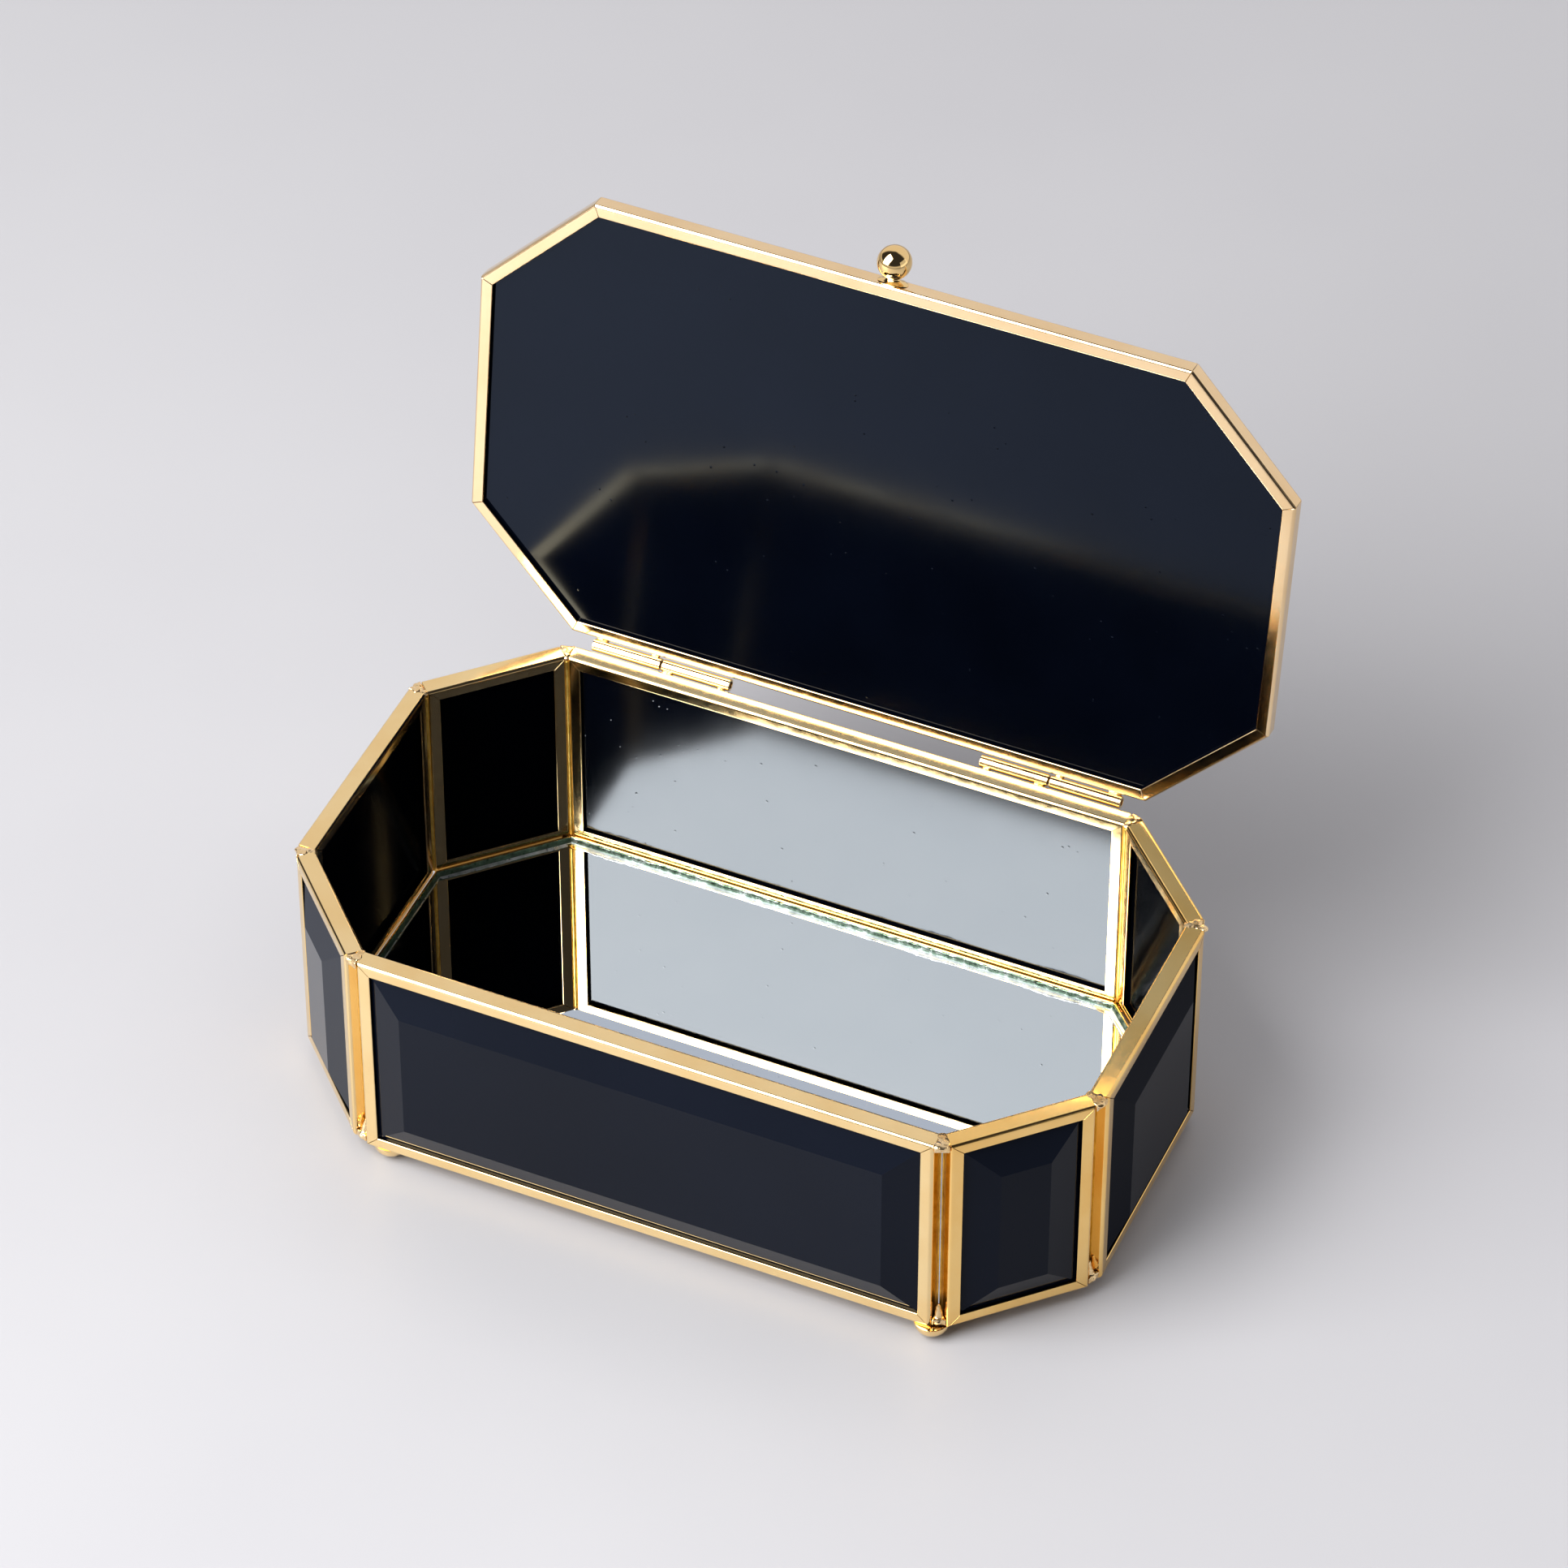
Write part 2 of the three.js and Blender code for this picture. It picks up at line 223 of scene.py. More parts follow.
def glass_outer(name, level):
    """Ground and polished face of the smoked glass: near-black navy body, mirror-smooth face."""
    m, nt, p = nodes_of(name)
    drift = noise_node(nt, 14, 2)
    nt.links.new(ramp(nt, drift, [(0.3, (0.0012, 0.0020, 0.0050)), (0.7, (0.0019, 0.0031, 0.0075))]), p.inputs["Base Color"])
    nt.links.new(maprange(nt, noise_node(nt, 300, 4), 0.4, 0.8, 0.012, 0.035), p.inputs["Roughness"])
    p.inputs["IOR"].default_value = 1.5
    p.inputs["Specular IOR Level"].default_value = level
    p.inputs["Specular Tint"].default_value = (0.72, 0.82, 1.0, 1)
    nt.links.new(bump(nt, noise_node(nt, 22, 1, 0.3), 1.0, 0.00003), p.inputs["Normal"])
    return m


def glass_inner(name, level, tint, body=1.0):
    """Painted inner face: glossy black coat, a little soft, with specks of dust under it."""
    m, nt, p = nodes_of(name)
    p.inputs["Specular IOR Level"].default_value = level
    p.inputs["Specular Tint"].default_value = (*tint, 1)
    drift = noise_node(nt, 30, 3)
    nt.links.new(ramp(nt, drift, [(0.3, (0.0004 * body, 0.0008 * body, 0.0022 * body)), (0.7, (0.0008 * body, 0.0014 * body, 0.0036 * body))]), p.inputs["Base Color"])
    nt.links.new(maprange(nt, noise_node(nt, 90, 3), 0.3, 0.8, 0.095, 0.12), p.inputs["Roughness"])
    p.inputs["IOR"].default_value = 1.5
    tc = nt.nodes.new("ShaderNodeTexCoord")
    v = nt.nodes.new("ShaderNodeTexVoronoi")
    v.inputs["Scale"].default_value = 330
    v.inputs["Randomness"].default_value = 1.0
    nt.links.new(tc.outputs["Object"], v.inputs["Vector"])
    speck = maprange(nt, v.outputs["Distance"], 0.0, 0.11, 1.0, 0.0)
    pick = maprange(nt, noise_node(nt, 120, 2), 0.52, 0.60, 0.0, 1.0)
    mul = nt.nodes.new("ShaderNodeMath")
    mul.operation = "MULTIPLY"
    nt.links.new(speck, mul.inputs[0])
    nt.links.new(pick, mul.inputs[1])
    w = bump(nt, noise_node(nt, 25, 1, 0.3), 1.0, 0.00002)
    nt.links.new(bump(nt, mul.outputs[0], 1.0, 0.00006, w), p.inputs["Normal"])
    return m


# reflection strength is set per pane: the front-left copy reflects more (painted reflection), the front-right and right
# copies reflect less (painted shade), and the inner face of every pane but the back one is darker and nearly
# unreflecting (painted shade)
M_GLASS = glass_outer("smoked_glass_polished", 0.14)
M_GLASS_PAINTED_REFLECTION = glass_outer("smoked_glass_polished_painted_reflection", 0.45)
M_GLASS_PAINTED_SHADE_FRONT_RIGHT = glass_outer("smoked_glass_polished_deep", 0.10)
M_GLASS_PAINTED_SHADE_RIGHT = glass_outer("smoked_glass_polished_side", 0.03)
M_COAT = glass_inner("smoked_glass_coated", 0.53, (0.84, 0.92, 1.0))
M_COAT_PAINTED_SHADE = glass_inner("smoked_glass_coated_painted_shade", 0.006, (0.86, 0.94, 1.0), 0.3)
M_COAT_LID = glass_inner("smoked_glass_coated_lid", 0.26, (0.52, 0.68, 1.0))


def mirror_materials():
    m, nt, p = nodes_of("mirror_silvering")
    p.inputs["Metallic"].default_value = 1.0
    nt.links.new(ramp(nt, noise_node(nt, 40, 3), [(0.3, (0.86, 0.885, 0.90)), (0.7, (0.89, 0.91, 0.92))]), p.inputs["Base Color"])
    nt.links.new(maprange(nt, noise_node(nt, 200, 3), 0.4, 0.8, 0.006, 0.02), p.inputs["Roughness"])
    nt.links.new(bump(nt, noise_node(nt, 18, 1, 0.3), 1.0, 0.000008), p.inputs["Normal"])
    silver = m

    m, nt, p = nodes_of("mirror_ground_edge")
    nt.links.new(ramp(nt, noise_node(nt, 500, 5, 0.65), [(0.36, (0.05, 0.10, 0.06)), (0.52, (0.22, 0.30, 0.23)), (0.70, (0.74, 0.80, 0.78))]), p.inputs["Base Color"])
    nt.links.new(maprange(nt, noise_node(nt, 900, 4), 0.3, 0.7, 0.18, 0.45), p.inputs["Roughness"])
    p.inputs["Metallic"].default_value = 0.85
    p.inputs["IOR"].default_value = 1.5
    nt.links.new(bump(nt, noise_node(nt, 900, 5, 0.7), 1.0, 0.00008), p.inputs["Normal"])
    edge = m

    # near-black copy of the ground edge, used on the three left sides that lie in the walls' shadow: painted shade
    m, nt, p = nodes_of("mirror_ground_edge_painted_shade")
    nt.links.new(ramp(nt, noise_node(nt, 500, 5, 0.65), [(0.36, (0.006, 0.016, 0.008)), (0.60, (0.03, 0.06, 0.035)), (0.78, (0.16, 0.22, 0.17))]), p.inputs["Base Color"])
    nt.links.new(maprange(nt, noise_node(nt, 900, 4), 0.3, 0.7, 0.22, 0.5), p.inputs["Roughness"])
    p.inputs["IOR"].default_value = 1.5
    nt.links.new(bump(nt, noise_node(nt, 900, 5, 0.7), 1.0, 0.00006), p.inputs["Normal"])
    edge_painted_shade = m

    m, nt, p = nodes_of("mirror_margin")
    nt.links.new(ramp(nt, noise_node(nt, 260, 5, 0.7), [(0.30, (0.36, 0.40, 0.40)), (0.5, (0.62, 0.65, 0.68)), (0.68, (0.88, 0.90, 0.93))]), p.inputs["Base Color"])
    nt.links.new(maprange(nt, noise_node(nt, 600, 3), 0.3, 0.7, 0.22, 0.42), p.inputs["Roughness"])
    p.inputs["Metallic"].default_value = 0.92
    nt.links.new(bump(nt, noise_node(nt, 1200, 4, 0.7), 1.0, 0.00002), p.inputs["Normal"])
    margin = m

    m, nt, p = nodes_of("mirror_back_sheet")
    nt.links.new(ramp(nt, noise_node(nt, 350, 6, 0.7), [(0.3, (0.20, 0.045, 0.050)), (0.7, (0.32, 0.085, 0.085))]), p.inputs["Base Color"])
    p.inputs["Roughness"].default_value = 0.78
    nt.links.new(bump(nt, noise_node(nt, 2200, 4, 0.7), 1.0, 0.00004), p.inputs["Normal"])
    return silver, edge, edge_painted_shade, margin, m


M_SILVER, M_EDGE, M_EDGE_PAINTED_SHADE, M_MARGIN, M_BACK = mirror_materials()


# ------------------------------------------------------------------ mesh helpers
class Part:
    def __init__(self):
        self.v, self.f, self.m = [], [], []

    def add(self, verts, faces, mat=0):
        o = len(self.v)
        self.v += [Vector(p) for p in verts]
        self.f += [[i + o for i in f] for f in faces]
        self.m += list(mat) if isinstance(mat, (list, tuple)) else [mat] * len(faces)
        return o


def finish_piece(name, part, matrix, mats, body, replaces=(), sharp=38.0, weighted=True, bevel=0.0, flip_fix=True):
    """Turns a Part into an object that rides on a body."""
    bm = bmesh.new()
    vs = [bm.verts.new(matrix @ p) for p in part.v]
    for f, m in zip(part.f, part.m):
        try:
            face = bm.faces.new([vs[i] for i in f])
            face.material_index = m
            face.smooth = True
        except ValueError:
            pass
    if bevel:
        edges = [e for e in bm.edges if len(e.link_faces) == 2 and e.calc_face_angle(0) > math.radians(3)]
        bmesh.ops.bevel(bm, geom=edges, offset=bevel * MM, segments=2, profile=0.5, affect="EDGES", clamp_overlap=True)
    if flip_fix:
        bmesh.ops.recalc_face_normals(bm, faces=bm.faces)
    for f in bm.faces:
        f.smooth = True
    me = bpy.data.meshes.new(name)
    bm.to_mesh(me)
    bm.free()
    for m in mats:
        me.materials.append(m)
    me.set_sharp_from_angle(angle=math.radians(sharp))
    ob = bpy.data.objects.new(name, me)
    bpy.context.scene.collection.objects.link(ob)
    if weighted:
        w = ob.modifiers.new("weighted", "WEIGHTED_NORMAL")
        w.keep_sharp = True
        w.weight = 80
    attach(ob, body)
    if replaces:
        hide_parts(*replaces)
    return ob


def arc(cx, cy, r, a0, a1, n):
    return [(cx + r * math.cos(math.radians(a0 + (a1 - a0) * i / n)), cy + r * math.sin(math.radians(a0 + (a1 - a0) * i / n))) for i in range(n + 1)]


def channel(w, t, s=0.5, R=0.80, n=10):
    """Section of a rolled brass channel: u from its web inwards, v from 0 down to -t."""
    ri = 0.12
    return (arc(w - s / 2, -s / 2, s / 2, 90, -90, 6) + arc(s + ri, -s - ri, ri, 90, 180, 2) + arc(s + ri, -t + s + ri, ri, 180, 270, 2)
            + arc(w - s / 2, -t + s / 2, s / 2, 90, -90, 6) + arc(R, -t + R, R, 270, 180, n) + [(0, -2.1)] + arc(R, -R, R, 180, 90, n))


def inset(poly, e):
    n = len(poly)
    area = sum(poly[i][0] * poly[(i + 1) % n][1] - poly[(i + 1) % n][0] * poly[i][1] for i in range(n))
    sgn = 1 if area > 0 else -1
    out = []
    for i in range(n):
        ax, ay = poly[i - 1]
        bx, by = poly[(i + 1) % n]
        tx, ty = bx - ax, by - ay
        l = math.hypot(tx, ty) or 1
        out.append((poly[i][0] - ty / l * e * sgn, poly[i][1] + tx / l * e * sgn))
    return out


def bars(part, poly, prof, place, gap=0.05, round_=0.07, mat=0, end_mat=1, steps=1, strip=None):
    """One mitred bar of the section along each side of a counter-clockwise outline. place(point, v) gives the 3D point."""
    n = len(poly)
    small = inset(prof, round_)
    k = len(prof)
    for i in range(n):
        a, b, z = Vector(poly[i]), Vector(poly[(i + 1) % n]), Vector(poly[i - 1])
        c = Vector(poly[(i + 2) % n])
        t = (b - a).normalized()
        nrm = Vector((-t.y, t.x))

        def mitre(p, q, r):
            d1, d2 = (p - q).normalized(), (r - q).normalized()
            half = math.acos(max(-1, min(1, d1.dot(d2)))) / 2
            return 1 / math.tan(half)
        m0, m1 = mitre(z, a, b), mitre(a, b, c)
        rings = []
        length = (b - a).length
        for (sec, off, end) in ((small, gap, 0), (prof, gap + round_, 0)):
            rings.append([(a + t * (u * m0 + off) + nrm * u, v) for u, v in sec])
        for j in range(1, steps):
            f = j / steps
            rings.append([(a + t * ((u * m0) * (1 - f) + (length - u * m1) * f) + nrm * u, v) for u, v in prof])
        for (sec, off) in ((prof, gap + round_), (small, gap)):
            rings.append([(a + t * (length - u * m1 - off) + nrm * u, v) for u, v in sec])
        verts = [place(p, v) for ring in rings for p, v in ring]
        faces, mats = [], []
        for r in range(len(rings) - 1):
            for j in range(k):
                faces.append([r * k + j, r * k + (j + 1) % k, (r + 1) * k + (j + 1) % k, (r + 1) * k + j])
                mats.append(strip(i, j) if strip else mat)
        # the two cut ends: quads across the sheet from the outer contour to the inner one
        for base in (0, (len(rings) - 1) * k):
            faces.append([base + j for j in range(k)])
            mats.append(end_mat)
        part.add(verts, faces, mats)


def lathe(part, profile, place, seg=64, mat=0):
    """Turns (radius, height) points about the height axis; place(x, y, h) gives the 3D point. Points on the axis close it."""
    verts, rows = [], []
    for r, h in profile:
        if r < 1e-6:
            rows.append([len(verts)])
            verts.append(place(0, 0, h))
        else:
            rows.append(list(range(len(verts), len(verts) + seg)))
            verts += [place(r * math.cos(2 * math.pi * i / seg), r * math.sin(2 * math.pi * i / seg), h) for i in range(seg)]
    faces = []
    closed = profile[0][0] > 1e-6
    pairs = list(zip(rows, rows[1:] + ([rows[0]] if closed else [])))
    for a, b in pairs:
        for i in range(seg):
            j = (i + 1) % seg
            if len(a) == 1 and len(b) == 1:
                continue
            if len(a) == 1:
                faces.append([a[0], b[i], b[j]])
            elif len(b) == 1:
                faces.append([a[i], a[j], b[0]])
            else:
                faces.append([a[i], a[j], b[j], b[i]])
    part.add(verts, faces, mat)


# ------------------------------------------------------------------ walls
corners = octagon(0)
WALL_SECTION = channel(FLANGE, T)
DEEP = min(range(len(WALL_SECTION)), key=lambda j: math.hypot(WALL_SECTION[j][0], WALL_SECTION[j][1] + 2.1))
walls = ["front", "front_right", "right", "back_right", "back", "back_left", "left", "front_left"]
PANE_IN, PANE_T, PANE_RIM, BEVEL = -1.1, 5.8, 1.9, 10.4
PANE_DROP = 0.3                                # the panes rest low in their channels
for i, name in enumerate(walls):
    a, b = Vector(corners[i]), Vector(corners[(i + 1) % 8])
    t = (b - a).normalized()
    out = Vector((t.y, -t.x))
    length = (b - a).length
    panel = BODY @ Matrix(((t.x, -out.x, 0, a.x), (t.y, -out.y, 0, a.y), (0, 0, 1, 0), (0, 0, 0, 1)))
    x0, x1 = GAP, length - GAP
    rails = Part()
    # the deep third of each groove between two channels is drawn in a darker, more orange, rougher brass: painted shade
    # in the recess
    bars(rails, [(x0, 0), (x1, 0), (x1, WALL_H), (x0, WALL_H)], WALL_SECTION, lambda p, v: (p.x, v, p.y),
         strip=lambda bar, j: 2 if bar in (1, 3) and DEEP <= j < DEEP + 7 else 0)
    # right-hand walls take the more saturated brass copy (painted reflection); the groove strip takes the darker brass
    # (painted shade)
    finish_piece(f"{name}_rails", rails, panel, [M_BRASS_RIGHT_PAINTED_REFLECTION if "right" in name else M_BRASS, M_CUT, M_GROOVE_PAINTED_SHADE], "base", [f"{name}_frame"])

    m = 0.85
    gx0, gx1, gz0, gz1 = x0 + m, x1 - m, m - PANE_DROP, WALL_H - m - PANE_DROP
    yi, ye, yo = PANE_IN, PANE_IN - PANE_RIM, PANE_IN - PANE_T
    v = []
    for y, q in ((yi, 0), (ye, 0), (yo, BEVEL)):
        v += [(gx0 + q, y, gz0 + q), (gx1 - q, y, gz0 + q), (gx1 - q, y, gz1 - q), (gx0 + q, y, gz1 - q)]
    f = [[0, 1, 2, 3]]
    fm = [1]
    for r in (0, 4):
        for j in range(4):
            f.append([r + j, r + (j + 1) % 4, r + 4 + (j + 1) % 4, r + 4 + j])
            fm.append(0)
    f.append([8, 9, 10, 11])
    fm.append(0)
    pane = Part()
    pane.add(v, f, fm)
    # per-pane glass copies: painted reflection on the front left, painted shade on the right and front right and on all
    # inner faces but the back one
    finish_piece(f"{name}_glass", pane, panel, [{"front_left": M_GLASS_PAINTED_REFLECTION, "right": M_GLASS_PAINTED_SHADE_RIGHT, "front_right": M_GLASS_PAINTED_SHADE_FRONT_RIGHT}.get(name, M_GLASS), M_COAT if name == "back" else M_COAT_PAINTED_SHADE], "base", [f"{name}_pane"], sharp=3, weighted=True, bevel=0.10)

# ------------------------------------------------------------------ floor
FL_TOP, FL_T, FL_W, FL_OFF = 1.1, 3.5, 3.0, -0.35
GLASS_TOP, SILVER_Z, PLATE_Z = 1.3, -0.2, -1.0
ledge = arc(0.12, -0.12, 0.12, 180, 90, 3) + arc(0.38, -0.12, 0.12, 90, 0, 3) + [(0.5, -3.0)] + arc(2.75, -3.25, 0.25, 90, -90, 6) + arc(0.4, -3.1, 0.4, 270, 180, 5)
floor = Part()
bars(floor, octagon(FL_OFF), ledge[::-1], lambda p, v: (p.x, p.y, FL_TOP + v), gap=0.0, round_=0.03)
finish_piece("floor_ledge", floor, BODY, [M_BRASS, M_CUT], "base", ["floor_frame"])

# The silvering is drawn where it is seen through the glass, and the ground glass edge stands round it.
mirror = Part()
o = octagon(FL_OFF - 1.1)
v = [(x, y, SILVER_Z) for x, y in o] + [(x, y, PLATE_Z) for x, y in o]
f = [list(range(8)), list(range(8, 16))] + [[j, (j + 1) % 8, 8 + (j + 1) % 8, 8 + j] for j in range(8)]
mirror.add(v, f, [0, 1] + [1] * 8)
finish_piece("floor_mirror_plate", mirror, BODY, [M_SILVER, M_EDGE], "base", ["floor_mirror"], sharp=5, weighted=False)

# ground edge of the mirror glass: chipped along its top, in short steps round the octagon
rim = Part()
oct0 = octagon(0)
stations = []
for i in range(8):
    a, b = Vector(oct0[i]), Vector(oct0[(i + 1) % 8])
    n = max(4, int((b - a).length / 0.5))
    stations += [(i, k / n) for k in range(n)]
rows = []
for i, t in stations:
    def at(off):
        q = octagon(off)
        return Vector(q[i]).lerp(Vector(q[(i + 1) % 8]), t)
    base_p = at(0)
    k1 = noise.noise(Vector((base_p.x * 0.9, base_p.y * 0.9, 3.0)))
    k2 = noise.noise(Vector((base_p.x * 0.35, base_p.y * 0.35, 9.0)))
    chip = max(0.0, k1 - 0.12) * 0.9 + max(0.0, k2) * 0.35
    top = GLASS_TOP - 0.04 - min(0.55, chip * 0.8)
    lean = 0.10 * k2
    rows.append([(*at(FL_OFF - 0.55), SILVER_Z - 0.1), (*at(FL_OFF - 0.55), top - 0.12), (*at(FL_OFF - 0.66), top), (*at(FL_OFF - 0.90 - lean), top - 0.05),
                 (*at(FL_OFF - 1.02 - lean - chip * 0.2), top - 0.30), (*at(FL_OFF - 1.12), SILVER_Z + 0.30), (*at(FL_OFF - 1.18), SILVER_Z - 0.1)])
v = [p for row in rows for p in row]
N, K = len(rows), len(rows[0])
f = [[a * K + j, a * K + (j + 1) % K, ((a + 1) % N) * K + (j + 1) % K, ((a + 1) % N) * K + j] for a in range(N) for j in range(K)]
# the three left sides (5, 6, 7) take the near-black copy of the edge: painted shade where the walls shade the floor
rim.add(v, f, [1 if stations[a][0] in (5, 6, 7) else 0 for a in range(N) for j in range(K)])
finish_piece("floor_mirror_rim", rim, BODY, [M_EDGE, M_EDGE_PAINTED_SHADE], "base", sharp=60, weighted=False)

# the silvering stops short of the edge: a clouded margin with an uneven inner line, its width scaled by where the light
# falls (painted light)
margin = Part()
rows = []
for i, t in stations:
    def at(off):
        q = octagon(off)
        return Vector(q[i]).lerp(Vector(q[(i + 1) % 8]), t)
    base_p = at(0)
    w1 = noise.noise(Vector((base_p.x * 0.12, base_p.y * 0.12, 5.0))) * 0.5 + noise.noise(Vector((base_p.x * 0.7, base_p.y * 0.7, 1.0))) * 0.25
    lit = 1.0 if i in (3, 4) else (0.55 if i == 5 else 0.12)     # the pale margin is drawn wide along the lit back and narrow along the shaded sides: painted light over a real unsilvered margin
    a0, a1, b0, b1 = FL_OFF - 1.06, FL_OFF - 1.06 - (0.55 + w1 * 0.3) * lit, FL_OFF - 1.08 - (0.95 + w1 * 0.6) * lit, FL_OFF - 1.38 - (1.45 + w1) * lit
    rows.append([(*at(a0), SILVER_Z - 0.15), (*at(a0), SILVER_Z + 0.14), (*at(a1), SILVER_Z + 0.17), (*at((a1 + b0) / 2), SILVER_Z + 0.06),
                 (*at(b0), SILVER_Z + 0.11), (*at(b1 + 0.22), SILVER_Z + 0.08), (*at(b1), SILVER_Z - 0.15)])
v = [p for row in rows for p in row]
f = [[a * K + j, a * K + (j + 1) % K, ((a + 1) % N) * K + (j + 1) % K, ((a + 1) % N) * K + j] for a in range(N) for j in range(K)]
margin.add(v, f)
finish_piece("floor_mirror_margin", margin, BODY, [M_MARGIN], "base", sharp=60, weighted=False)

zb = -1.0
back = Part()
o = octagon(FL_OFF - 1.0)
lo, hi = zb - 0.5, zb - 0.1
v = [(x, y, hi) for x, y in o] + [(x, y, lo) for x, y in o]
f = [list(range(8)), list(range(8, 16))] + [[j, (j + 1) % 8, 8 + (j + 1) % 8, 8 + j] for j in range(8)]
back.add(v, f)
finish_piece("floor_back_sheet", back, BODY, [M_BACK], "base", ["floor_backing"], bevel=0.08)

# ------------------------------------------------------------------ soft, hand-made lumps
def blob(name, prims, matrix, mats, body, replaces=(), voxel=0.16, smooth=3, amp=0.10, freq=0.55, seed=0, keep=None):
    """Joins simple closed shapes into one uneven lump: voxel remesh, smoothing, and low noise along the normals."""
    bm = bmesh.new()
    for kind, *arg in prims:
        if kind == "ball":
            c, r = arg[0], arg[1]
            s = r if hasattr(r, "__len__") else (r, r, r)
            bmesh.ops.create_icosphere(bm, subdivisions=3, radius=1.0, matrix=Matrix.Translation(c) @ Matrix.Diagonal((*s, 1)))
        elif kind == "rod":
            a, b, r0, r1 = Vector(arg[0]), Vector(arg[1]), arg[2], arg[3]
            d = b - a
            mt = Matrix.Translation((a + b) / 2) @ d.to_track_quat("Z", "Y").to_matrix().to_4x4()
            bmesh.ops.create_cone(bm, cap_ends=True, segments=20, radius1=r0, radius2=r1, depth=d.length, matrix=mt)
        elif kind == "prism":
            pts, z0, z1 = arg
            lo = [bm.verts.new((x, y, z0)) for x, y in pts]
            hi = [bm.verts.new((x, y, z1)) for x, y in pts]
            bm.faces.new(lo[::-1])
            bm.faces.new(hi)
            for j in range(len(pts)):
                bm.faces.new([lo[j], lo[(j + 1) % len(pts)], hi[(j + 1) % len(pts)], hi[j]])
    bmesh.ops.recalc_face_normals(bm, faces=bm.faces)
    me = bpy.data.meshes.new(name + "_raw")
    bm.to_mesh(me)
    bm.free()
    tmp = bpy.data.objects.new(name + "_tmp", me)
    bpy.context.scene.collection.objects.link(tmp)
    rm = tmp.modifiers.new("r", "REMESH")
    rm.mode = "VOXEL"
    rm.voxel_size = voxel
    dg = bpy.context.evaluated_depsgraph_get()
    made = bpy.data.meshes.new_from_object(tmp.evaluated_get(dg))
    bpy.data.objects.remove(tmp)
    bm = bmesh.new()
    bm.from_mesh(made)
    for _ in range(smooth):
        bmesh.ops.smooth_vert(bm, verts=bm.verts, factor=0.5, use_axis_x=True, use_axis_y=True, use_axis_z=True)
    bm.normal_update()
    shift = Vector((seed * 7.3, seed * 3.1, seed * 5.7))
    moved = []
    for vert in bm.verts:
        p = vert.co * freq + shift
        d = noise.noise(p) * amp + noise.noise(p * 2.7) * amp * 0.35
        moved.append(vert.co + vert.normal * d)
    for vert, q in zip(bm.verts, moved):
        vert.co = keep(q) if keep else q
    bm.transform(matrix)
    for fc in bm.faces:
        fc.smooth = True
    me = bpy.data.meshes.new(name)
    bm.to_mesh(me)
    bm.free()
    for mt in mats:
        me.materials.append(mt)
    ob = bpy.data.objects.new(name, me)
    bpy.context.scene.collection.objects.link(ob)
    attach(ob, body)
    if replaces:
        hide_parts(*replaces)
    return ob


def corner_frame(i):
    p = Vector(corners[i])
    e1 = (p - Vector(corners[i - 1])).normalized()
    e2 = (Vector(corners[(i + 1) % 8]) - p).normalized()
    n1, n2 = Vector((e1.y, -e1.x)), Vector((e2.y, -e2.x))
    return p, e1, e2, n1, n2, (n1 + n2).normalized()


def wedge(i, reach, near=0.9, spread=0.10):
    """Plan of the V groove at a corner, out to `reach` from the inner face."""
    p, e1, e2, n1, n2, bis = corner_frame(i)
    q = lambda n, e, s, r: tuple(p + n * r + e * spread * s)
    return [tuple(p + bis * 0.35), q(n1, e1, 0, near), q(n1, e1, 0, reach), q(n2, e2, 0, reach), q(n2, e2, 0, near)]


names = ["front_l", "front_r", "right_f", "right_b", "back_r", "back_l", "left_b", "left_f"]
for i, c in enumerate(names):
    p, e1, e2, n1, n2, bis = corner_frame(i)
    q = lambda r, z: (*(p + bis * r), z)
    big = 1.25 if c in ("front_r", "right_f", "right_b") else 1.0
    side = Vector((-bis.y, bis.x))
    o = lambda r, t, z: (*(p + bis * r + side * t), z)
    blob(f"top_joint_{c}", [("prism", wedge(i, T - 0.1), WALL_H - 1.9, WALL_H - 0.05),
                            ("ball", q(1.0, WALL_H - 0.42), (1.25 * big, 1.25 * big, 0.55)),
                            ("ball", o(2.7, 0.7, WALL_H - 0.30), (1.0 * big, 1.25 * big, 0.50)),
                            ("ball", o(3.6, -0.6, WALL_H - 0.50), (1.35 * big, 1.0 * big, 0.60)),
                            ("ball", q(T - 1.5, WALL_H - 1.0), (1.25, 1.25, 0.9))],
         BODY, [M_SOLDER], "base", [f"top_solder_{c}"], seed=i + 1, amp=0.17, smooth=2, keep=lambda w: Vector((w.x, w.y, min(w.z, WALL_H + 0.14))))
    # seam down the corner: closed with solder, except the front right one, where light still comes through
    seam = Part()
    for t in ((-0.31, 0.31) if c == "front_r" else (0.0,)):
        rad = 0.21 if c == "front_r" else 0.46
        centre = p + bis * 0.32 + side * t
        prof = [(0, 1.0), (rad * 0.8, 1.05)]
        prof += [(rad * (1 + 0.10 * noise.noise(Vector((i * 5.0, t, k * 0.45)))), 1.2 + (WALL_H - 2.6) * k / 30) for k in range(31)]
        prof += [(rad * 0.8, WALL_H - 1.25), (0, WALL_H - 1.2)]
        lathe(seam, prof, lambda x, y, h: (centre.x + x, centre.y + y, h), seg=14)
    # the seam takes the groove's darker brass: painted shade
    finish_piece(f"seam_{c}", seam, BODY, [M_GROOVE_PAINTED_SHADE], "base", sharp=50, weighted=False)
    blob(f"bottom_joint_{c}", [("prism", wedge(i, T - 0.5), 0.35, 2.2),
                               ("rod", q(2.6, 0.5), q(2.2, 5.6), 1.5, 0.35),
                               ("ball", q(3.3, 1.2), (1.1, 1.1, 0.9))],
         BODY, [M_SOLDER], "base", [f"bottom_solder_{c}"], seed=i + 21, amp=0.16)

